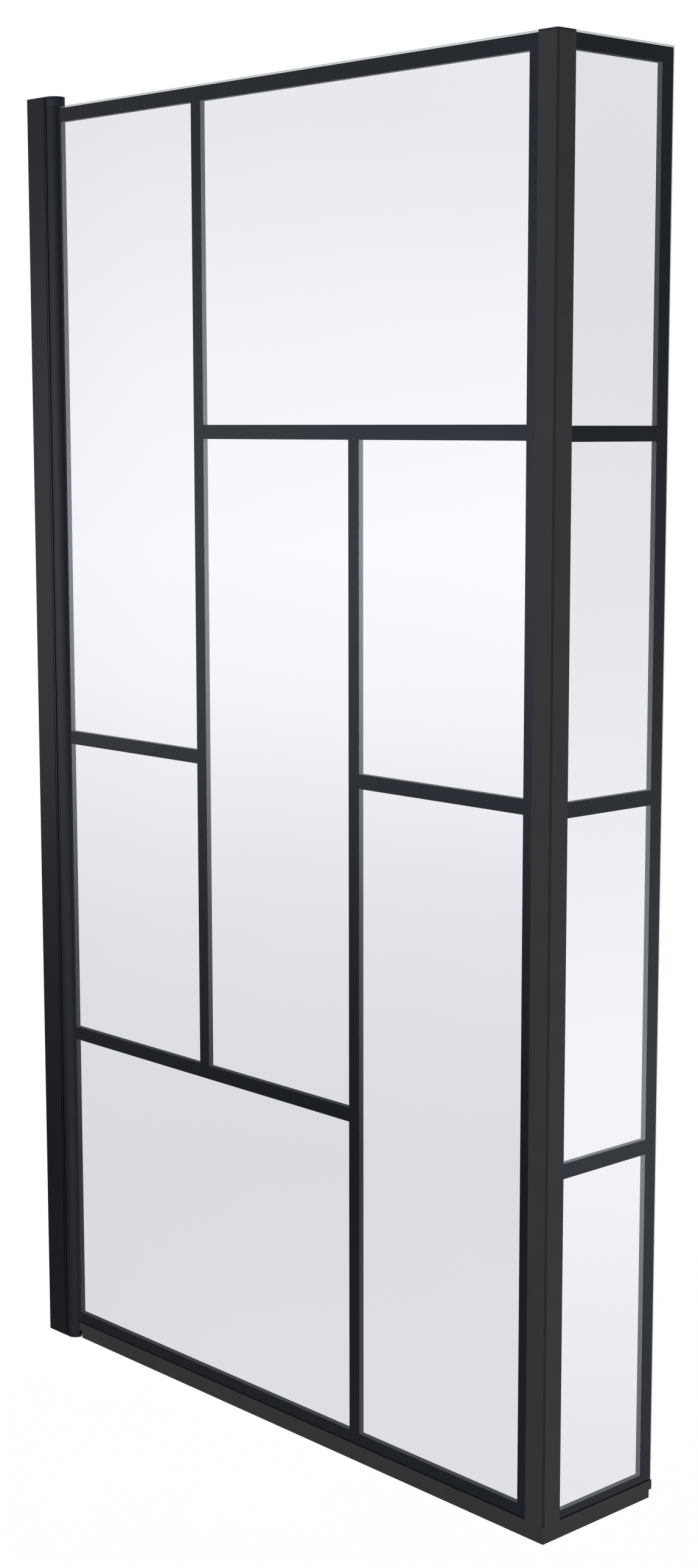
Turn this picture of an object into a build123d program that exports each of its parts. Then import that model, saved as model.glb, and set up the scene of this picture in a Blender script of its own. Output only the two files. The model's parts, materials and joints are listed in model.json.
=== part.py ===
from build123d import *
import os

# A hinged square bath screen: a long glass panel that swings on a wall profile, with a short
# return panel behind a corner post. Millimetres. X runs from the wall along the bath, Y from
# outside the bath to inside it, Z up. The origin is the foot of the wall profile, on the
# wall, in the plane of the hinge axis.

# Overall sizes
screen_height = 1450.0
wall_to_corner = 810.5
return_reach = 163.0

# Glass
glass_thickness = 6.0
glass_below_top = 11.3
glass_arris = 0.4
clear_margin = 2.0

# Wall profile, a channel that opens away from the wall
wall_profile_reach = 31.2
wall_profile_wall = 1.0
wall_profile_web = 2.0
wall_hole_radius = 2.75
outer_hole_spacing = 1250.0
inner_hole_spacing = 420.0

# Jamb profile, which slides in the wall profile and carries the hinge socket
jamb_gap = 1.0
jamb_shoulder_gap = 0.3
jamb_shoulder_step = 0.6
jamb_nose_length = 2.5
nose_tip_setback = 3.9
jamb_slide_clearance = 0.2
jamb_wall = 1.5
jamb_web = 3.0
jamb_overlap = 23.0
port_from_cavity = 2.1
port_from_side = 3.0
liner_width = 2.0
liner_depth = 0.9
liner_angle = 12.0

# Hinge
barrel_radius = 11.0
socket_clearance = 0.3
barrel_bore_radius = 4.5
barrel_flat_from_axis = 7.2
barrel_flat_angle = 45.0
barrel_head_gap = 0.3
head_spigot_length = 15.0
plug_length = 8.0
plug_clearance = 0.05
pivot_cap_thickness = 2.0
washer_thickness = 0.4
washer_radius = 7.0
pin_radius = 3.0
pin_head_radius = 4.5
pin_head_height = 1.0
pin_engagement = 7.0
pin_end_clearance = 0.6
running_clearance = 0.05

# Gasket that holds the glass in the barrel
gasket_reach = 14.0
gasket_bead = 0.6
gasket_bead_width = 1.0
gasket_bead_from_axis = 4.5
glass_edge_from_axis = 3.3

# Bottom rails, H sections with the glass above the web and the seal below it
rail_cover = 1.5
rail_slot_clearance = 0.1
rail_top = 19.5
rail_bottom = 1.5
rail_web_bottom = 9.8
rail_web = 1.0
rail_from_barrel = 0.7
rail_short_of_glass = 1.0
skirt_setback_hinge = 6.0
skirt_setback_free = 4.0
block_height = 2.0
block_length = 40.0
front_block_inset = 60.0
return_block_inset = 12.0
seal_height = 6.0
seal_base = 2.0
seal_stem = 1.2
seal_bulb_radius = 1.8
seal_end_clearance = 1.0

# Corner post and the key that joins it to the rails
post_leg = 24.5
post_corner_radius = 2.8
post_edge_radius = 0.5
post_slot_depth = 10.0
post_wall = 1.6
post_slot_wall = 2.0
post_glass_gap = 0.5
post_cap_thickness = 2.0
post_plug_depth = 8.0
key_clearance = 0.1
key_tenon = 25.0
key_glass_gap = 1.5
key_screw_inset = 3.2

# Grid strips on both faces of the glass
strip_thickness = 0.3
bar_width = 15.0
column_pitch = 244.85
front_sill_bar_show = 12.6
return_sill_bar_show = 8.6
strip_tuck = 3.4
row_count = 4

# Fasteners
screw_clearance = 0.3
thread_clearance = 0.05
cap_screw_radius = 1.2
cap_screw_head_radius = 2.3
cap_screw_length = 10.0
clamp_screw_radius = 1.75
clamp_screw_head_radius = 3.5
clamp_screw_head_height = 1.6
clamp_screw_length = 6.0
clamp_screw_from_wall = 16.0
clamp_screw_spacing = 575.0
clamp_screw_count = 3
clamp_cover_radius = 5.0
clamp_cover_height = 3.0
clamp_cover_fillet = 0.9
key_screw_radius = 1.75
key_screw_head_radius = 3.0
key_screw_head_height = 1.8
key_screw_length = 7.0
drive_radius = 0.9
drive_depth = 0.7
drive_sides = 6

# Places across the glass
half_glass = glass_thickness / 2
half_rail = half_glass + rail_cover
half_slot = half_glass + strip_thickness + rail_slot_clearance
half_strip = half_glass + strip_thickness
post_front = -half_rail
post_back = post_front + post_leg
return_middle = wall_to_corner - half_rail

# Places along X
nose_start = wall_profile_reach + jamb_gap
nose_tip = nose_start + jamb_nose_length
hinge_x = nose_tip + nose_tip_setback
socket_radius = barrel_radius + socket_clearance
jamb_half = barrel_radius - wall_profile_wall - jamb_slide_clearance
jamb_tail = wall_profile_reach - jamb_overlap
jamb_cavity_end = hinge_x - socket_radius - jamb_web
port_x = jamb_cavity_end + port_from_cavity
port_y = jamb_half - port_from_side
glass_left = hinge_x + glass_edge_from_axis
gasket_left = glass_left - rail_slot_clearance - strip_thickness
gasket_right = hinge_x + gasket_reach
rail_start = hinge_x + barrel_radius + rail_from_barrel
post_left = wall_to_corner - post_leg
front_slot_end = post_left + post_slot_depth
front_glass_right = front_slot_end - post_glass_gap
post_band_right = post_left + strip_tuck
post_band_left = post_band_right - bar_width
key_left = front_glass_right + key_glass_gap

# Places along Y
return_end = post_front + return_reach
return_rail_end = return_end - rail_short_of_glass
return_slot_end = post_back - post_slot_depth
return_glass_start = return_slot_end + post_glass_gap
return_band_end = return_end - clear_margin
return_band_start = return_band_end - bar_width
return_bar_start = post_back - strip_tuck
key_back = return_glass_start - key_glass_gap

# Heights
mid_height = screen_height / 2
jamb_top = screen_height - pivot_cap_thickness
barrel_bottom = pivot_cap_thickness + washer_thickness
head_top = screen_height - barrel_bottom
glass_top = screen_height - glass_below_top
head_bottom = glass_top + barrel_head_gap
slot_floor = rail_web_bottom + rail_web
glass_bottom = slot_floor + block_height
strip_top = glass_top - clear_margin
post_top = glass_top - post_cap_thickness

# Spans that several pieces share, as (from, to)
core_x = (front_slot_end + post_slot_wall, wall_to_corner - post_wall)
core_y = (post_front + post_wall, return_slot_end - post_slot_wall)
front_key_screw = (key_left + key_screw_inset, 0)
return_key_screw = (return_middle, key_back - key_screw_inset)
front_seal_x = (
    rail_start + skirt_setback_hinge,
    front_key_screw[0] - key_screw_head_radius - seal_end_clearance,
)
return_seal_y = (
    return_key_screw[1] + key_screw_head_radius + seal_end_clearance,
    return_rail_end - skirt_setback_free,
)

# Planes that several pieces share
middle_plane = Plane.XY.offset(mid_height)
bath_side_plane = Plane.XZ.offset(-barrel_radius)
cover_side_plane = Plane.XZ.offset(-barrel_radius - clamp_screw_head_height)
mitre_plane = Plane(origin=(wall_to_corner, post_front, 0), z_dir=(1, 1, 0))
front_rail_plane = Plane(origin=(rail_start, 0, 0), x_dir=(0, 1, 0), z_dir=(1, 0, 0))
return_rail_plane = Plane(origin=(return_middle, return_rail_end, 0), x_dir=(1, 0, 0), z_dir=(0, -1, 0))

os.makedirs("parts", exist_ok=True)


def save(part, name):
    """Labels a finished piece and writes its file."""
    part.label = name
    export_step(part, f"parts/{name}.step")


def span(x_span, y_span, mode=Mode.ADD):
    """A rectangle in the open sketch, between two values of each axis."""
    with Locations(((x_span[0] + x_span[1]) / 2, (y_span[0] + y_span[1]) / 2)):
        Rectangle(x_span[1] - x_span[0], y_span[1] - y_span[0], mode=mode)


def block(x_span, y_span, z_span):
    """A box in the open part, between two values of each axis."""
    with BuildSketch(Plane.XY.offset(z_span[0])) as base:
        span(x_span, y_span)
    extrude(base.sketch, amount=z_span[1] - z_span[0])


def barrel_flat():
    """Cuts the flat of the barrel's bath side from the open sketch."""
    with Locations((hinge_x, 0)):
        with PolarLocations(barrel_flat_from_axis + barrel_radius, 1, barrel_flat_angle):
            Rectangle(2 * barrel_radius, 2 * barrel_radius, mode=Mode.SUBTRACT)


def liner_strips(mode=Mode.ADD):
    """The two liner strips of the socket, with their grooves, in the open sketch."""
    with Locations((hinge_x, 0)):
        with PolarLocations(socket_radius, 2, 180 - liner_angle, 4 * liner_angle):
            Rectangle(2 * liner_depth, liner_width, mode=mode)


# Wall profile, with four screw holes in its web and three in its bath side
with BuildPart() as wall_profile:
    with BuildSketch():
        span((0, wall_profile_reach), (-barrel_radius, barrel_radius))
        channel_half = barrel_radius - wall_profile_wall
        span((wall_profile_web, wall_profile_reach), (-channel_half, channel_half), Mode.SUBTRACT)
    extrude(amount=screen_height)
    with BuildSketch(Plane.YZ):
        with Locations((0, mid_height)):
            for spacing in (outer_hole_spacing, inner_hole_spacing):
                with GridLocations(0, spacing, 1, 2):
                    Circle(wall_hole_radius)
    extrude(amount=wall_profile_web, mode=Mode.SUBTRACT)
    with BuildSketch(bath_side_plane):
        with Locations((clamp_screw_from_wall, mid_height)):
            with GridLocations(0, clamp_screw_spacing, 1, clamp_screw_count):
                Circle(clamp_screw_radius + screw_clearance)
    extrude(amount=wall_profile_wall, mode=Mode.SUBTRACT)
save(wall_profile.part, "wall_profile")

# Jamb profile, with the round socket that the barrel turns in and the ports for the cap screws
with BuildPart() as jamb_profile:
    with BuildSketch(Plane.XY.offset(pivot_cap_thickness)):
        shoulder_half = barrel_radius - jamb_shoulder_step
        span((jamb_tail, nose_start), (-jamb_half, jamb_half))
        span((wall_profile_reach + jamb_shoulder_gap, nose_start), (-shoulder_half, shoulder_half))
        span((nose_start, nose_tip), (-barrel_radius, barrel_radius))
        cavity_half = jamb_half - jamb_wall
        span((jamb_tail, jamb_cavity_end), (-cavity_half, cavity_half), Mode.SUBTRACT)
        with Locations((hinge_x, 0)):
            Circle(socket_radius, mode=Mode.SUBTRACT)
        liner_strips(Mode.SUBTRACT)
        with Locations((port_x, -port_y), (port_x, port_y)):
            Circle(cap_screw_radius + thread_clearance, mode=Mode.SUBTRACT)
    extrude(amount=jamb_top - pivot_cap_thickness)
    with BuildSketch(Plane.XZ.offset(-jamb_half)):
        with Locations((clamp_screw_from_wall, mid_height)):
            with GridLocations(0, clamp_screw_spacing, 1, clamp_screw_count):
                Circle(clamp_screw_radius + thread_clearance)
    extrude(amount=jamb_wall, mode=Mode.SUBTRACT)
save(jamb_profile.part, "jamb_profile")

# Liner strips, flush with the socket's wall
with BuildPart() as socket_liners:
    with BuildSketch(Plane.XY.offset(pivot_cap_thickness)):
        liner_strips()
        with Locations((hinge_x, 0)):
            Circle(socket_radius, mode=Mode.SUBTRACT)
    extrude(amount=jamb_top - pivot_cap_thickness)
save(socket_liners.part, "socket_liners")

# Top pivot cap: a tongue in the wall profile, the nose, and a round end over the barrel
with BuildPart() as top_pivot_cap:
    with BuildSketch(Plane.XY.offset(jamb_top)):
        span((wall_profile_web + jamb_slide_clearance, nose_start), (-jamb_half, jamb_half))
        span((nose_start, nose_tip), (-barrel_radius, barrel_radius))
        with Locations((hinge_x, 0)):
            Circle(barrel_radius)
    extrude(amount=pivot_cap_thickness)
    with Locations((hinge_x, 0, screen_height)):
        CounterBoreHole(
            pin_radius + thread_clearance,
            pin_head_radius + thread_clearance,
            pin_head_height,
        )
    with Locations((port_x, -port_y, screen_height), (port_x, port_y, screen_height)):
        CounterSinkHole(
            cap_screw_radius + thread_clearance,
            cap_screw_head_radius + thread_clearance,
            counter_sink_angle=90,
        )
save(top_pivot_cap.part, "top_pivot_cap")

# Bottom pivot cap, the same turned over, with the barrel's flat. Its tongue is short, so the
# profiles are open at the foot and drain.
with BuildPart() as bottom_pivot_cap:
    mirror(top_pivot_cap.part, about=middle_plane)
    with BuildSketch():
        with Locations((hinge_x, 0)):
            with PolarLocations(barrel_flat_from_axis + barrel_radius, 1, barrel_flat_angle):
                Rectangle(2 * barrel_radius, 2 * barrel_radius)
        span((0, jamb_cavity_end), (-barrel_radius, barrel_radius))
    extrude(amount=pivot_cap_thickness, mode=Mode.SUBTRACT)
save(bottom_pivot_cap.part, "bottom_pivot_cap")

# Pivot pins, with flat heads flush in the caps
with BuildPart() as pivot_pins:
    with BuildSketch(Plane.XY.offset(screen_height)):
        with Locations((hinge_x, 0)):
            Circle(pin_head_radius)
    extrude(amount=-pin_head_height)
    with BuildSketch(Plane.XY.offset(screen_height)):
        with Locations((hinge_x, 0)):
            Circle(pin_radius)
    extrude(amount=-barrel_bottom - pin_engagement)
    mirror(about=middle_plane)
save(pivot_pins.part, "pivot_pins")

# Countersunk screws, two in each pivot cap
with BuildPart() as cap_screws:
    cap_screw_head_height = cap_screw_head_radius - cap_screw_radius
    for side in (-port_y, port_y):
        with Locations((port_x, side, screen_height - cap_screw_head_height / 2)):
            Cone(cap_screw_radius, cap_screw_head_radius, cap_screw_head_height)
        with Locations((port_x, side, screen_height - cap_screw_length / 2)):
            Cylinder(cap_screw_radius, cap_screw_length)
    with BuildSketch(Plane.XY.offset(screen_height)):
        with Locations((port_x, -port_y), (port_x, port_y)):
            RegularPolygon(drive_radius, drive_sides)
    extrude(amount=-drive_depth, mode=Mode.SUBTRACT)
    mirror(about=middle_plane)
save(cap_screws.part, "cap_screws")

# Clamp screws, from the bath side through the wall profile into the jamb profile
with BuildPart() as clamp_screws:
    with BuildSketch(bath_side_plane):
        with Locations((clamp_screw_from_wall, mid_height)):
            with GridLocations(0, clamp_screw_spacing, 1, clamp_screw_count):
                Circle(clamp_screw_head_radius)
    extrude(amount=-clamp_screw_head_height)
    with BuildSketch(bath_side_plane):
        with Locations((clamp_screw_from_wall, mid_height)):
            with GridLocations(0, clamp_screw_spacing, 1, clamp_screw_count):
                Circle(clamp_screw_radius)
    extrude(amount=clamp_screw_length)
    with BuildSketch(cover_side_plane):
        with Locations((clamp_screw_from_wall, mid_height)):
            with GridLocations(0, clamp_screw_spacing, 1, clamp_screw_count):
                RegularPolygon(drive_radius, drive_sides)
    extrude(amount=drive_depth, mode=Mode.SUBTRACT)
save(clamp_screws.part, "clamp_screws")

# Snap covers over the clamp screws
with BuildPart() as clamp_screw_covers:
    with BuildSketch(bath_side_plane):
        with Locations((clamp_screw_from_wall, mid_height)):
            with GridLocations(0, clamp_screw_spacing, 1, clamp_screw_count):
                Circle(clamp_cover_radius)
    extrude(amount=-clamp_cover_height)
    fillet(clamp_screw_covers.faces().group_by(Axis.Y)[-1].edges(), clamp_cover_fillet)
    with BuildSketch(bath_side_plane):
        with Locations((clamp_screw_from_wall, mid_height)):
            with GridLocations(0, clamp_screw_spacing, 1, clamp_screw_count):
                Circle(clamp_screw_head_radius + screw_clearance)
    extrude(amount=-clamp_screw_head_height - screw_clearance, mode=Mode.SUBTRACT)
save(clamp_screw_covers.part, "clamp_screw_covers")

# Hinge barrel: a round profile with a bore, the glass slot and a flat on the bath side
with BuildPart() as hinge_barrel:
    with BuildSketch(Plane.XY.offset(barrel_bottom)):
        with Locations((hinge_x, 0)):
            Circle(barrel_radius)
            Circle(barrel_bore_radius, mode=Mode.SUBTRACT)
        barrel_flat()
        span((gasket_left, hinge_x + barrel_radius), (-half_slot, half_slot), Mode.SUBTRACT)
        with Locations((hinge_x + gasket_bead_from_axis, 0)):
            Rectangle(gasket_bead_width, 2 * (half_slot + gasket_bead), mode=Mode.SUBTRACT)
    extrude(amount=head_bottom - barrel_bottom)
save(hinge_barrel.part, "hinge_barrel")

# Barrel head: the full round above the glass, with a bearing bore and a spigot in the barrel
with BuildPart() as barrel_head:
    with BuildSketch(Plane.XY.offset(head_bottom)):
        with Locations((hinge_x, 0)):
            Circle(barrel_radius)
    extrude(amount=head_top - head_bottom)
    with BuildSketch(Plane.XY.offset(head_bottom)):
        with Locations((hinge_x, 0)):
            Circle(barrel_bore_radius - plug_clearance)
        spigot_right = gasket_left - plug_clearance
        span((spigot_right, hinge_x + barrel_radius), (-barrel_radius, barrel_radius), Mode.SUBTRACT)
    extrude(amount=-head_spigot_length)
    with BuildSketch(Plane.XY.offset(head_top)):
        with Locations((hinge_x, 0)):
            Circle(pin_radius + running_clearance)
    extrude(amount=-pin_engagement - pin_end_clearance, mode=Mode.SUBTRACT)
save(barrel_head.part, "barrel_head")

# Barrel plug: the bearing in the barrel's lower end
with BuildPart() as barrel_plug:
    with BuildSketch(Plane.XY.offset(barrel_bottom)):
        with Locations((hinge_x, 0)):
            Circle(barrel_bore_radius - plug_clearance)
            Circle(pin_radius + running_clearance, mode=Mode.SUBTRACT)
    extrude(amount=plug_length)
save(barrel_plug.part, "barrel_plug")

# Thrust washers between the caps and the barrel's ends
with BuildPart() as hinge_washers:
    with BuildSketch(Plane.XY.offset(head_top)):
        with Locations((hinge_x, 0)):
            Circle(washer_radius)
            Circle(pin_radius + running_clearance, mode=Mode.SUBTRACT)
    extrude(amount=washer_thickness)
    mirror(about=middle_plane)
save(hinge_washers.part, "hinge_washers")

# Glass gasket: a channel round the glass edge, with beads in the barrel and a lip on each face
with BuildPart() as glass_gasket:
    with BuildSketch(Plane.XY.offset(glass_bottom)):
        span((gasket_left, gasket_right), (-half_slot, half_slot))
        with Locations((hinge_x + gasket_bead_from_axis, 0)):
            Rectangle(gasket_bead_width, 2 * (half_slot + gasket_bead))
        span((glass_left, gasket_right), (-half_glass, half_glass), Mode.SUBTRACT)
    extrude(amount=glass_top - glass_bottom)
save(glass_gasket.part, "glass_gasket")

# Front glass, with its sharp edges taken off
with BuildPart() as front_glass:
    block((glass_left, front_glass_right), (-half_glass, half_glass), (glass_bottom, glass_top))
    chamfer(front_glass.edges(), glass_arris)
save(front_glass.part, "front_glass")

# Return glass
with BuildPart() as return_glass:
    return_x = (return_middle - half_glass, return_middle + half_glass)
    block(return_x, (return_glass_start, return_end), (glass_bottom, glass_top))
    chamfer(return_glass.edges(), glass_arris)
save(return_glass.part, "return_glass")


def post_outline():
    """The post's square section with its two glass slots, in the open sketch."""
    with BuildSketch(mode=Mode.PRIVATE) as square:
        span((post_left, wall_to_corner), (post_front, post_back))
        outer_corner = square.vertices().group_by(Axis.X)[-1].sort_by(Axis.Y)[0]
        fillet(outer_corner, post_corner_radius)
        fillet(square.vertices().group_by(Axis.Y)[-1], post_edge_radius)
        fillet(square.vertices().group_by(Axis.X)[0].sort_by(Axis.Y)[0], post_edge_radius)
    add(square.sketch)
    span((post_left, front_slot_end), (-half_slot, half_slot), Mode.SUBTRACT)
    slot_x = (return_middle - half_slot, return_middle + half_slot)
    span(slot_x, (return_slot_end, post_back), Mode.SUBTRACT)


# Corner post, with a square core at the corner and an open chamber on the bath side
with BuildPart() as corner_post:
    with BuildSketch(Plane.XY.offset(rail_top)):
        post_outline()
        span(core_x, core_y, Mode.SUBTRACT)
        chamber_x = (post_left + post_wall, return_middle - half_slot - post_slot_wall)
        chamber_y = (half_slot + post_slot_wall, post_back - post_wall)
        with BuildSketch(mode=Mode.PRIVATE) as chamber:
            span(chamber_x, chamber_y)
            span((front_slot_end, wall_to_corner), (post_front, return_slot_end), Mode.SUBTRACT)
        add(chamber.sketch, mode=Mode.SUBTRACT)
    extrude(amount=post_top - rail_top)
save(corner_post.part, "corner_post")

# Corner post cap, with a plug in the post's core
with BuildPart() as corner_post_cap:
    with BuildSketch(Plane.XY.offset(post_top)):
        post_outline()
    extrude(amount=post_cap_thickness)
    block(
        (core_x[0] + key_clearance, core_x[1] - key_clearance),
        (core_y[0] + key_clearance, core_y[1] - key_clearance),
        (post_top - post_plug_depth, post_top),
    )
save(corner_post_cap.part, "corner_post_cap")


def rail(end_plane, length, skirt_setback, screw, keep):
    """A rail from its free end to the mitre, with its screw hole, in the open part."""
    with BuildSketch(end_plane) as section:
        span((-half_rail, half_rail), (rail_bottom, rail_top))
        span((-half_slot, half_slot), (rail_bottom, rail_web_bottom), Mode.SUBTRACT)
        span((-half_slot, half_slot), (slot_floor, rail_top), Mode.SUBTRACT)
    extrude(section.sketch, amount=length)
    with BuildSketch(end_plane) as skirt_end:
        span((-half_rail, half_rail), (rail_bottom, rail_web_bottom))
    extrude(skirt_end.sketch, amount=skirt_setback, mode=Mode.SUBTRACT)
    with BuildSketch(Plane.XY.offset(rail_web_bottom)) as screw_hole:
        with Locations(screw):
            Circle(key_screw_radius + screw_clearance)
    extrude(screw_hole.sketch, amount=rail_web, mode=Mode.SUBTRACT)
    split(bisect_by=mitre_plane, keep=keep)


# Front rail
with BuildPart() as front_rail:
    front_length = wall_to_corner - rail_start
    rail(front_rail_plane, front_length, skirt_setback_hinge, front_key_screw, Keep.BOTTOM)
save(front_rail.part, "front_rail")

# Return rail
with BuildPart() as return_rail:
    return_length = return_rail_end - post_front
    rail(return_rail_plane, return_length, skirt_setback_free, return_key_screw, Keep.TOP)
save(return_rail.part, "return_rail")

# Corner key: an angle in the rails' slots with a tenon in the post
with BuildPart() as corner_key:
    key_half = half_slot - key_clearance
    key_x = (return_middle - key_half, return_middle + key_half)
    block((key_left, key_x[1]), (-key_half, key_half), (slot_floor, rail_top))
    block(key_x, (-key_half, key_back), (slot_floor, rail_top))
    block(
        (core_x[0] + key_clearance, core_x[1] - key_clearance),
        (core_y[0] + key_clearance, core_y[1] - key_clearance),
        (rail_top, rail_top + key_tenon),
    )
    with BuildSketch(Plane.XY.offset(slot_floor)):
        with Locations(front_key_screw, return_key_screw):
            Circle(key_screw_radius + thread_clearance)
    extrude(amount=key_screw_length - rail_web, mode=Mode.SUBTRACT)
save(corner_key.part, "corner_key")

# Key screws, with their heads under the rails' webs
with BuildPart() as key_screws:
    with BuildSketch(Plane.XY.offset(rail_web_bottom)):
        with Locations(front_key_screw, return_key_screw):
            Circle(key_screw_head_radius)
    extrude(amount=-key_screw_head_height)
    with BuildSketch(Plane.XY.offset(rail_web_bottom)):
        with Locations(front_key_screw, return_key_screw):
            Circle(key_screw_radius)
    extrude(amount=key_screw_length)
    with BuildSketch(Plane.XY.offset(rail_web_bottom - key_screw_head_height)):
        with Locations(front_key_screw, return_key_screw):
            RegularPolygon(drive_radius, drive_sides)
    extrude(amount=drive_depth, mode=Mode.SUBTRACT)
save(key_screws.part, "key_screws")

# Setting blocks, two under each glass
with BuildPart() as setting_blocks:
    for block_left in (rail_start + front_block_inset, front_glass_right - front_block_inset - block_length):
        block((block_left, block_left + block_length), (-half_glass, half_glass), (slot_floor, glass_bottom))
    for block_front in (
        return_glass_start + return_block_inset,
        return_rail_end - return_block_inset - block_length,
    ):
        block(return_x, (block_front, block_front + block_length), (slot_floor, glass_bottom))
save(setting_blocks.part, "setting_blocks")


def drip_seal(end_plane, length):
    """A seal under a rail's web: a base between the skirts, a stem and a round bulb."""
    seal_bottom = rail_web_bottom - seal_height
    with BuildSketch(end_plane) as section:
        span((-half_slot, half_slot), (rail_web_bottom - seal_base, rail_web_bottom))
        span((-seal_stem / 2, seal_stem / 2), (seal_bottom + seal_bulb_radius, rail_web_bottom))
        with Locations((0, seal_bottom + seal_bulb_radius)):
            Circle(seal_bulb_radius)
    extrude(section.sketch, amount=length)


# Drip seals
with BuildPart() as front_seal:
    drip_seal(front_rail_plane.offset(skirt_setback_hinge), front_seal_x[1] - front_seal_x[0])
save(front_seal.part, "front_seal")

with BuildPart() as return_seal:
    drip_seal(return_rail_plane.offset(skirt_setback_free), return_seal_y[1] - return_seal_y[0])
save(return_seal.part, "return_seal")


def row_span(row, sill_bar_show):
    """The heights of a cross bar, counted from the top; the last row is the sill bar."""
    pitch = (strip_top - rail_top - sill_bar_show) / row_count
    bar_top = strip_top - row * pitch
    return (bar_top - bar_width, bar_top)


def column_span(column):
    """The X span of an upright of the front grid, counted from the band beside the post."""
    left = post_band_left - column * column_pitch
    return (left, left + bar_width)


# The front grid: each strip's X span and Z span
rows = [row_span(row, front_sill_bar_show) for row in range(row_count + 1)]
right_column = column_span(1)
left_column = column_span(2)
front_strips = {
    "top_bar": ((gasket_right, post_band_left), rows[0]),
    "upper_bar": ((left_column[1], post_band_left), rows[1]),
    "left_bar": ((gasket_right, left_column[0]), rows[2]),
    "right_bar": ((right_column[1], post_band_left), rows[2]),
    "lower_bar": ((gasket_right, right_column[0]), rows[3]),
    "sill_bar": ((gasket_right, post_band_left), rows[4]),
    "left_upright": (left_column, (rows[3][1], rows[0][0])),
    "right_upright": (right_column, (rows[4][1], rows[1][0])),
    "post_band": ((post_band_left, post_band_right), (rows[4][0], rows[0][1])),
}

# The return grid: each strip's Y span and Z span
return_rows = [row_span(row, return_sill_bar_show) for row in range(row_count + 1)]
return_strips = {
    f"bar_{row + 1}": ((return_bar_start, return_band_start), heights)
    for row, heights in enumerate(return_rows)
}
return_strips["edge_band"] = (
    (return_band_start, return_band_end),
    (return_rows[row_count][0], return_rows[0][1]),
)

# The strips of each face of each glass
for side_name, side in (("outside", -1), ("inside", 1)):
    strip_y = sorted((side * half_glass, side * half_strip))
    for strip_name, (strip_x, strip_z) in front_strips.items():
        with BuildPart() as front_strip:
            block(strip_x, strip_y, strip_z)
        save(front_strip.part, f"front_{side_name}_{strip_name}")
    strip_x = sorted((return_middle - side * half_glass, return_middle - side * half_strip))
    for strip_name, (strip_y, strip_z) in return_strips.items():
        with BuildPart() as return_strip:
            block(strip_x, strip_y, strip_z)
        save(return_strip.part, f"return_{side_name}_{strip_name}")
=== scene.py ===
import json
from math import pi, radians

import bmesh
import bpy
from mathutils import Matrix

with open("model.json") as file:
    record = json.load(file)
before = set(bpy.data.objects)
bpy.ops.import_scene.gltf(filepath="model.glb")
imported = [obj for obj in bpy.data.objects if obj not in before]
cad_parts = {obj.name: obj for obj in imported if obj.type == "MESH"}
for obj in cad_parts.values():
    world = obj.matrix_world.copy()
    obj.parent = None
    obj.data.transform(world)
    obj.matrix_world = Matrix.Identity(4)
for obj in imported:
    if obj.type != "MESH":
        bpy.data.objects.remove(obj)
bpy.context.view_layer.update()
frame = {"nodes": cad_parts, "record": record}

# The look of the hinged bath screen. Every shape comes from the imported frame. This script adds
# the materials, the studio and the camera. Metres, in the frame of the part.

# Camera, solved from the photograph. Pixels are the photograph's own, and angles are degrees.
image_width = 1147
image_height = 2576
focal_pixels = 4033.7
centre_x = 611.55
centre_y = 1269.2
camera_place = (2.3571, -1.6748, 1.0836)
camera_down = 8.019
camera_turn = 46.997
sensor_width = 36.0

# Floor, as far down as it is from a bath's rim. floor_whiteness is the share of plain white in
# what the camera sees of it.
floor_place = (0.4, 0.1, -0.56)
floor_radius = 9.0
floor_whiteness = 0.9
floor_tones = ((0.93, 0.93, 0.93), (0.95, 0.95, 0.95))
floor_grain = 3.0

# Light that falls on the object, from straight below and from straight above
light_below = 0.7
light_above = 1.1

# What gloss mirrors: two wide soft boxes and a plain level. The wall box stands in the room, a
# little towards the wall, and the bath box beyond the bath's far end. Up the studio, each has
# (sine of the elevation, level) pairs.
level_reach = 0.6
wall_box_levels = (
    (-0.6, 0.40), (-0.38, 0.30), (-0.29, 0.19), (-0.196, 0.45), (-0.098, 1.18),
    (-0.049, 1.36), (0.049, 1.0), (0.12, 0.64), (0.6, 0.55),
)
bath_box_levels = (
    (-0.6, 0.4), (-0.40, 0.66), (-0.27, 1.2), (-0.196, 0.98), (-0.049, 0.55),
    (0.049, 0.33), (0.6, 0.65),
)
# Round the studio: (degrees from +X towards +Y, share of wall box, share of bath box, plain level)
studio_round = (
    (-180.0, 0.0, 0.0, 0.15),
    (-168.0, 0.15, 0.0, 0.1),
    (-146.0, 0.76, 0.0, 0.0),
    (-142.0, 1.0, 0.0, 0.0),
    (-132.0, 1.12, 0.0, 0.0),
    (-105.0, 1.9, 0.3, 0.0),
    (-78.0, 1.6, 0.7, 0.0),
    (-50.0, 0.7, 1.2, 0.0),
    (-20.0, 0.25, 1.1, 0.0),
    (5.0, 0.05, 1.4, 0.0),
    (20.0, 0.0, 1.3, 0.0),
    (43.0, 0.0, 1.0, 0.0),
    (55.0, 0.0, 1.0, 0.0),
    (95.0, 0.0, 0.3, 0.25),
    (180.0, 0.0, 0.0, 0.15),
)
# A colour ramp holds at most 1, so levels and shares go in divided by these
level_scale = 2.4
share_scale = 2

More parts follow.
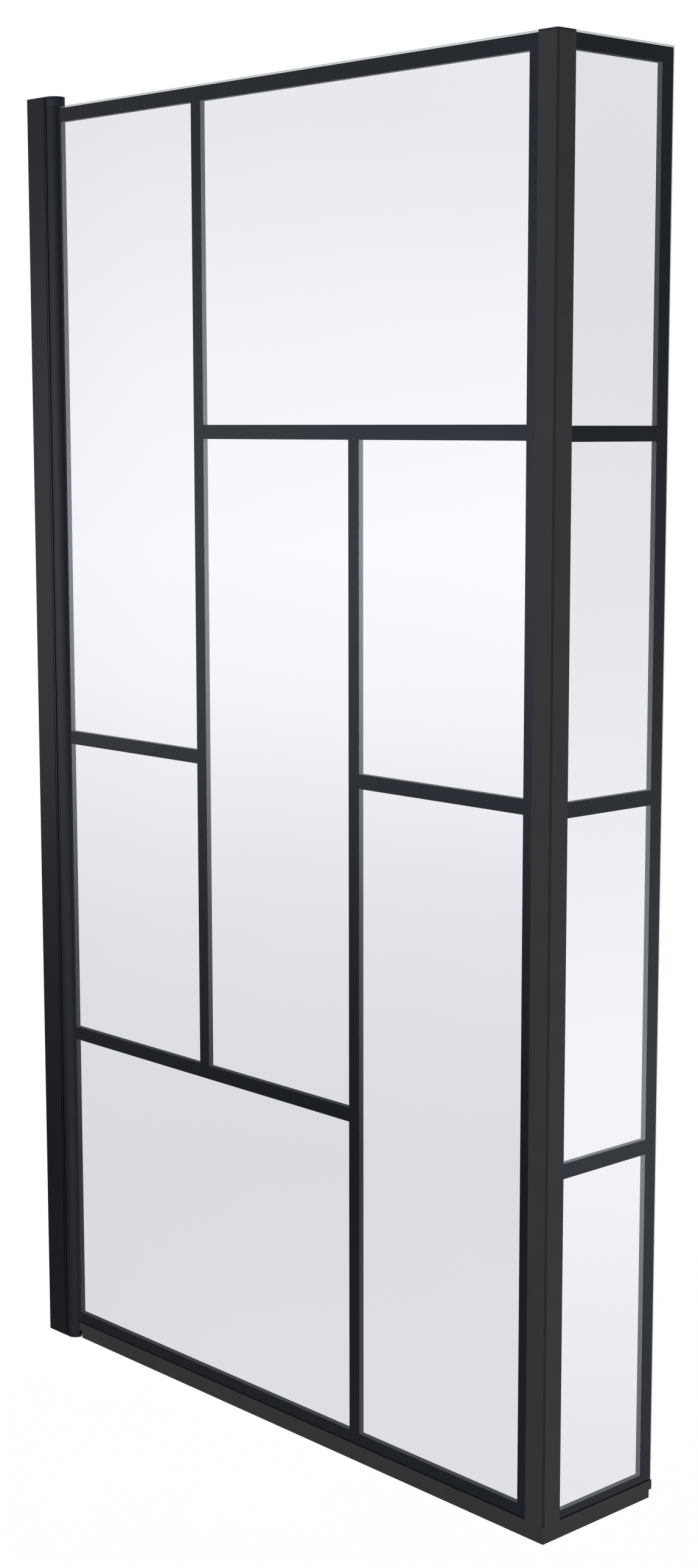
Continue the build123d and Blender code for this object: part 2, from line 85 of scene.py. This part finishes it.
# Clear glass. head_on_reflectance is how much of the studio a pane mirrors seen straight on. A
# face is a pane's own, not its edge, where its normal keeps pane_normal along the thin axis.
pane_tones = ((0.930, 0.925, 0.943), (0.937, 0.932, 0.950))
edge_tones = ((0.60, 0.63, 0.63), (0.64, 0.67, 0.67))
glass_gloss = (0.86, 0.93, 1.0)
head_on_reflectance = 0.21
grazing_power = 5.0
glass_roughness = 0.012
film_scale = 5.0
film_low = 0.2
film_high = 0.8
pane_normal = 0.9

# Coats. Most of a noise texture's values lie between noise_low and noise_high. Clouds, which are
# cloud_scale times as fine as the grain, have these shares of the tone and of the gloss.
noise_low = 0.3
noise_high = 0.7
cloud_scale = 0.02
cloud_in_tone = 0.6
cloud_in_gloss = 0.5
roughness_spread = 0.05
coat_bump = 0.5

# Painted shade: narrow grooves painted darker where the share of open sky within groove_width is
# low, and the rounded corner painted darker, for the dark reflection down it, where its normal's X
# times Y is low
groove_width = 0.0015
painted_groove_shade_ramp = (0.55, 0.92)
painted_groove_shade_colour = (0.0022, 0.0024, 0.0028)
painted_corner_shade_ramp = (-0.1, -0.4)
painted_corner_shade_colour = (0.0045, 0.0048, 0.0055)

# Steel, with marks that are finer along Z
steel_tones = ((0.42, 0.42, 0.41), (0.58, 0.58, 0.57))
steel_roughness = (0.24, 0.42)
steel_marks = 900.0
steel_stretch = (1.0, 1.0, 14.0)
steel_bump = 0.3
steel_depth = 0.00003

# Colours of the coats' gloss
cool = (0.68, 0.79, 1.0)
cool_frame = (0.80, 0.88, 1.0)
neutral = (0.94, 0.96, 1.0)

white = (1.0, 1.0, 1.0)


def emptied_tree(owner):
    """The node tree of a material or a world, with nothing in it."""
    owner.use_nodes = True
    for node in list(owner.node_tree.nodes):
        owner.node_tree.nodes.remove(node)
    return owner.node_tree


def new_material(name):
    """A material, its node tree and the tree's output."""
    material = bpy.data.materials.new(name)
    tree = emptied_tree(material)
    return material, tree, tree.nodes.new("ShaderNodeOutputMaterial")


def link(tree, start, end):
    tree.links.new(start, end)


def feed(tree, value, socket):
    """Sets a socket to a number or a colour, or links it to another socket."""
    if isinstance(value, (int, float)):
        socket.default_value = value
    elif isinstance(value, tuple):
        socket.default_value = (*value, 1.0)
    else:
        link(tree, value, socket)


def math_node(tree, operation, first, second=None):
    """A Math node. Each input is a number or a socket."""
    node = tree.nodes.new("ShaderNodeMath")
    node.operation = operation
    feed(tree, first, node.inputs[0])
    if second is not None:
        feed(tree, second, node.inputs[1])
    return node.outputs[0]


def blend(tree, first, second, first_share):
    """Two values added, the first times its share and the second times the rest."""
    return math_node(
        tree, "ADD",
        math_node(tree, "MULTIPLY", first, first_share),
        math_node(tree, "MULTIPLY", second, 1 - first_share),
    )


def map_range(tree, value, before, after, interpolation="LINEAR"):
    """A value taken from one (low, high) range to another, and held at its ends."""
    node = tree.nodes.new("ShaderNodeMapRange")
    node.interpolation_type = interpolation
    node.inputs["From Min"].default_value, node.inputs["From Max"].default_value = before
    node.inputs["To Min"].default_value, node.inputs["To Max"].default_value = after
    link(tree, value, node.inputs["Value"])
    return node.outputs[0]


def ramp(tree, factor, stops):
    """A colour ramp with (position, colour) stops."""
    node = tree.nodes.new("ShaderNodeValToRGB")
    elements = node.color_ramp.elements
    elements[0].position, elements[0].color = stops[0][0], (*stops[0][1], 1.0)
    elements[1].position, elements[1].color = stops[-1][0], (*stops[-1][1], 1.0)
    for position, colour in stops[1:-1]:
        elements.new(position).color = (*colour, 1.0)
    link(tree, factor, node.inputs["Fac"])
    return node.outputs["Color"]


def two_tones(tree, value, tones, low=noise_low, high=noise_high):
    """A noise value taken to a colour between two tones."""
    return ramp(tree, value, ((low, tones[0]), (high, tones[1])))


def mix_colours(tree, share, first, second):
    """The first colour, giving way to the second by a share."""
    node = tree.nodes.new("ShaderNodeMix")
    node.data_type = "RGBA"
    link(tree, share, node.inputs["Factor"])
    feed(tree, first, node.inputs["A"])
    feed(tree, second, node.inputs["B"])
    return node.outputs["Result"]


def mix_shaders(tree, share, first, second):
    """The first shader, giving way to the second by a share."""
    node = tree.nodes.new("ShaderNodeMixShader")
    for place, value in enumerate((share, first, second)):
        link(tree, value, node.inputs[place])
    return node.outputs[0]


def object_position(tree, stretch=(1.0, 1.0, 1.0)):
    """Object coordinates, in metres, scaled for each axis."""
    source = tree.nodes.new("ShaderNodeTexCoord")
    mapping = tree.nodes.new("ShaderNodeMapping")
    mapping.inputs["Scale"].default_value = stretch
    link(tree, source.outputs["Object"], mapping.inputs["Vector"])
    return mapping.outputs[0]


def split_direction(tree, output):
    """The X, Y and Z of a direction that Texture Coordinate gives."""
    source = tree.nodes.new("ShaderNodeTexCoord")
    split = tree.nodes.new("ShaderNodeSeparateXYZ")
    link(tree, source.outputs[output], split.inputs[0])
    return split.outputs


def noise(tree, position, scale, detail=3.0):
    """A noise texture's value, from 0 to 1."""
    node = tree.nodes.new("ShaderNodeTexNoise")
    node.inputs["Scale"].default_value = scale
    node.inputs["Detail"].default_value = detail
    link(tree, position, node.inputs["Vector"])
    return node.outputs["Fac"]


def add_bump(tree, shader, height, strength, depth):
    """Gives a shader a bump, depth metres high."""
    node = tree.nodes.new("ShaderNodeBump")
    node.inputs["Strength"].default_value = strength
    node.inputs["Distance"].default_value = depth
    link(tree, height, node.inputs["Height"])
    link(tree, node.outputs[0], shader.inputs["Normal"])


def painted_shade_openness(tree):
    """How open a place is, from 0 deep in a narrow groove to 1 on an open face. It masks the
    painted groove shade.
    """
    hollow = tree.nodes.new("ShaderNodeAmbientOcclusion")
    hollow.samples = 4
    hollow.inputs["Distance"].default_value = groove_width
    return map_range(tree, hollow.outputs["AO"], painted_groove_shade_ramp, (0.0, 1.0), "SMOOTHSTEP")


def painted_corner_shade_mask(tree):
    """Mask of painted shade: 1 on the rounded corner between the faces to +X and -Y, and 0 on flat
    faces.
    """
    normal = split_direction(tree, "Normal")
    slant = math_node(tree, "MULTIPLY", normal["X"], normal["Y"])
    return map_range(tree, slant, painted_corner_shade_ramp, (0.0, 1.0), "SMOOTHSTEP")


def coating(name, tones, roughness, specular, tint, grain, depth, stretch=(1.0, 1.0, 1.0),
            painted_groove_shade=False, painted_corner_shade=False):
    """A paint, plastic or rubber surface: two near tones, uneven gloss and a fine grain.

    tint is the colour of its gloss, grain the number of grains in a metre, and depth the bump's
    height in metres. The groove flag paints shade into narrow grooves, and the corner flag paints
    shade down a rounded corner.
    """
    material, tree, output = new_material(name)
    shader = tree.nodes.new("ShaderNodeBsdfPrincipled")
    position = object_position(tree, stretch)
    cloud = noise(tree, position, grain * cloud_scale)
    speck = noise(tree, position, grain, detail=2.0)
    colour = two_tones(tree, blend(tree, cloud, speck, cloud_in_tone), tones)
    # Painted shade down the rounded corner, standing in for the dark reflection it shows
    if painted_corner_shade:
        colour = mix_colours(tree, painted_corner_shade_mask(tree), colour, painted_corner_shade_colour)
    link(tree, colour, shader.inputs["Base Color"])
    rough_range = (roughness - roughness_spread, roughness + roughness_spread)
    gloss = map_range(tree, blend(tree, cloud, speck, cloud_in_gloss), (0.0, 1.0), rough_range)
    link(tree, gloss, shader.inputs["Roughness"])
    shader.inputs["Specular IOR Level"].default_value = specular
    shader.inputs["Specular Tint"].default_value = (*tint, 1.0)
    add_bump(tree, shader, speck, coat_bump, depth)
    surface = shader.outputs[0]
    # Painted shade in narrow grooves: the coat gives way to a near-black diffuse where little open
    # sky reaches it
    if painted_groove_shade:
        painted_groove_bsdf = tree.nodes.new("ShaderNodeBsdfDiffuse")
        painted_groove_bsdf.inputs["Color"].default_value = (*painted_groove_shade_colour, 1.0)
        surface = mix_shaders(tree, painted_shade_openness(tree), painted_groove_bsdf.outputs[0], surface)
    link(tree, surface, output.inputs["Surface"])
    return material


def turned_steel(name):
    """Stainless steel with fine tool marks."""
    material, tree, output = new_material(name)
    shader = tree.nodes.new("ShaderNodeBsdfPrincipled")
    shader.inputs["Metallic"].default_value = 1.0
    marks = noise(tree, object_position(tree, steel_stretch), steel_marks, detail=4.0)
    link(tree, two_tones(tree, marks, steel_tones), shader.inputs["Base Color"])
    link(tree, map_range(tree, marks, (0.0, 1.0), steel_roughness), shader.inputs["Roughness"])
    add_bump(tree, shader, marks, steel_bump, steel_depth)
    link(tree, shader.outputs[0], output.inputs["Surface"])
    return material


def clear_glass(name, thin_axis):
    """Clear glass that lets the view through unbent, a little darker at its ground edges.

    Only the faces that a ray enters by are mirrors, so nothing behind a pane is dimmed twice.
    thin_axis is the axis across the pane, X or Y.
    """
    material, tree, output = new_material(name)
    film = noise(tree, object_position(tree), film_scale, detail=4.0)
    pane_tone = two_tones(tree, film, pane_tones, film_low, film_high)
    edge_tone = two_tones(tree, film, edge_tones, film_low, film_high)
    across = math_node(tree, "ABSOLUTE", split_direction(tree, "Normal")[thin_axis])
    on_edge = math_node(tree, "LESS_THAN", across, pane_normal)
    through = tree.nodes.new("ShaderNodeBsdfTransparent")
    link(tree, mix_colours(tree, on_edge, pane_tone, edge_tone), through.inputs["Color"])
    shine = tree.nodes.new("ShaderNodeBsdfGlossy")
    shine.inputs["Color"].default_value = (*glass_gloss, 1.0)
    roughness = map_range(tree, film, (0.0, 1.0), (0.0, glass_roughness))
    link(tree, roughness, shine.inputs["Roughness"])
    weight = tree.nodes.new("ShaderNodeLayerWeight")
    weight.inputs["Blend"].default_value = 0.5
    grazing = math_node(tree, "POWER", weight.outputs["Facing"], grazing_power)
    gained = math_node(tree, "MULTIPLY", grazing, 1 - head_on_reflectance)
    reflectance = math_node(tree, "ADD", gained, head_on_reflectance)
    geometry = tree.nodes.new("ShaderNodeNewGeometry")
    entered = math_node(tree, "SUBTRACT", 1.0, geometry.outputs["Backfacing"])
    mirrored = math_node(tree, "MULTIPLY", reflectance, entered)
    surface = mix_shaders(tree, mirrored, through.outputs[0], shine.outputs[0])
    link(tree, surface, output.inputs["Surface"])
    return material


# Materials, by the record's material slots
finishes = {
    "black_frame": coating(
        "frame_coat", ((0.0026, 0.0034, 0.0052), (0.0036, 0.0046, 0.0066)),
        roughness=0.15, specular=0.225, tint=cool_frame, grain=2400.0, depth=0.00002,
        painted_groove_shade=True),
    "grid_strip": coating(
        "strip_coat", ((0.0028, 0.0039, 0.0062), (0.0040, 0.0053, 0.0080)),
        roughness=0.13, specular=0.295, tint=cool, grain=3200.0, depth=0.00001),
    "corner_coat": coating(
        "corner_coat", ((0.0160, 0.0168, 0.0188), (0.0215, 0.0224, 0.0246)),
        roughness=0.45, specular=0.24, tint=neutral, grain=2000.0, depth=0.00005,
        painted_groove_shade=True, painted_corner_shade=True),
    "black_cap": coating(
        "cap_plastic", ((0.0050, 0.0058, 0.0072), (0.0076, 0.0086, 0.0102)),
        roughness=0.32, specular=0.28, tint=cool, grain=2800.0, depth=0.00003,
        painted_groove_shade=True),
    "seal": coating(
        "rubber", ((0.0035, 0.0036, 0.0038), (0.006, 0.0061, 0.0064)),
        roughness=0.55, specular=0.35, tint=neutral, grain=1500.0, depth=0.00005,
        stretch=(1.0, 1.0, 0.05)),
    "bearing_plastic": coating(
        "acetal", ((0.035, 0.035, 0.036), (0.05, 0.05, 0.052)),
        roughness=0.38, specular=0.4, tint=neutral, grain=1200.0, depth=0.00003),
    "steel": turned_steel("steel"),
    "clear_glass": clear_glass("front_pane", "Y"),
}
return_pane = clear_glass("return_pane", "X")

for subpart in frame["record"]["subparts"]:
    mesh = frame["nodes"][subpart["node"]].data
    mesh.materials.clear()
    is_return_pane = subpart["node"] == "return_glass"
    mesh.materials.append(return_pane if is_return_pane else finishes[subpart["material_slot"]])


def studio_floor():
    """A round pale floor, well below the screen. Gloss sees the studio through it."""
    mesh = bpy.data.meshes.new("studio_floor")
    disc = bmesh.new()
    bmesh.ops.create_circle(disc, cap_ends=True, segments=96, radius=floor_radius)
    disc.to_mesh(mesh)
    disc.free()
    floor = bpy.data.objects.new("studio_floor", mesh)
    floor.location = floor_place
    bpy.context.scene.collection.objects.link(floor)
    material, tree, output = new_material("studio_floor")
    matt = tree.nodes.new("ShaderNodeBsdfDiffuse")
    grain = noise(tree, object_position(tree), floor_grain)
    link(tree, two_tones(tree, grain, floor_tones), matt.inputs["Color"])
    glow = tree.nodes.new("ShaderNodeEmission")
    glow.inputs["Color"].default_value = (*white, 1.0)
    clear = tree.nodes.new("ShaderNodeBsdfTransparent")
    ray = tree.nodes.new("ShaderNodeLightPath")
    whiteness = math_node(tree, "MULTIPLY", ray.outputs["Is Camera Ray"], floor_whiteness)
    seen = mix_shaders(tree, whiteness, matt.outputs[0], glow.outputs[0])
    surface = mix_shaders(tree, ray.outputs["Is Glossy Ray"], seen, clear.outputs[0])
    link(tree, surface, output.inputs["Surface"])
    mesh.materials.append(material)


def box_level(tree, sine, levels):
    """A soft box's level up the studio, divided by level_scale."""
    height = map_range(tree, sine, (-level_reach, level_reach), (0.0, 1.0))
    return ramp(tree, height, [
        ((z + level_reach) / (2 * level_reach), (level / level_scale,) * 3) for z, level in levels
    ])


def mirrored_studio(tree, direction):
    """The level that gloss sees each way, divided by level_scale and by share_scale."""
    turn = math_node(tree, "ARCTAN2", direction["Y"], direction["X"])
    turn_share = math_node(tree, "ADD", math_node(tree, "MULTIPLY", turn, 0.5 / pi), 0.5)
    around = ramp(tree, turn_share, [
        ((degrees + 180.0) / 360.0, tuple(share / share_scale for share in shares))
        for degrees, *shares in studio_round
    ])
    split = tree.nodes.new("ShaderNodeSeparateColor")
    link(tree, around, split.inputs[0])
    wall_box = box_level(tree, direction["Z"], wall_box_levels)
    bath_box = box_level(tree, direction["Z"], bath_box_levels)
    wall_part = math_node(tree, "MULTIPLY", wall_box, split.outputs["Red"])
    bath_part = math_node(tree, "MULTIPLY", bath_box, split.outputs["Green"])
    plain_part = math_node(tree, "MULTIPLY", split.outputs["Blue"], 1 / level_scale)
    both_boxes = math_node(tree, "ADD", wall_part, bath_part)
    return math_node(tree, "ADD", both_boxes, plain_part)


def background(tree, colour, strength=1.0):
    """A Background shader. Its colour is three numbers or a socket."""
    node = tree.nodes.new("ShaderNodeBackground")
    node.inputs["Strength"].default_value = strength
    feed(tree, colour, node.inputs["Color"])
    return node.outputs[0]


def studio_world():
    """White behind the screen, a plain level of light on it, and two soft boxes for its gloss."""
    world = bpy.data.worlds.new("studio")
    bpy.context.scene.world = world
    tree = emptied_tree(world)
    output = tree.nodes.new("ShaderNodeOutputWorld")
    direction = split_direction(tree, "Generated")
    mirrored = mirrored_studio(tree, direction)
    gloss_light = background(tree, mirrored, share_scale * level_scale)
    plain_level = map_range(tree, direction["Z"], (-1.0, 1.0), (light_below, light_above))
    plain_light = background(tree, plain_level)
    backdrop = background(tree, white)
    ray = tree.nodes.new("ShaderNodeLightPath")
    lighting = mix_shaders(tree, ray.outputs["Is Glossy Ray"], plain_light, gloss_light)
    straight = math_node(
        tree, "MAXIMUM", ray.outputs["Is Camera Ray"], ray.outputs["Is Transmission Ray"])
    link(tree, mix_shaders(tree, straight, lighting, backdrop), output.inputs["Surface"])


studio_floor()
studio_world()

camera_data = bpy.data.cameras.new("camera")
camera = bpy.data.objects.new("camera", camera_data)
bpy.context.scene.collection.objects.link(camera)
camera.location = camera_place
camera.rotation_euler = (radians(90.0 - camera_down), 0.0, radians(camera_turn))
camera_data.sensor_fit = "AUTO"
camera_data.sensor_width = sensor_width
camera_data.lens = focal_pixels / image_height * sensor_width
camera_data.shift_x = (image_width / 2 - centre_x) / image_height
camera_data.shift_y = (centre_y - image_height / 2) / image_height
bpy.context.scene.camera = camera

bpy.context.scene.view_settings.view_transform = "Standard"
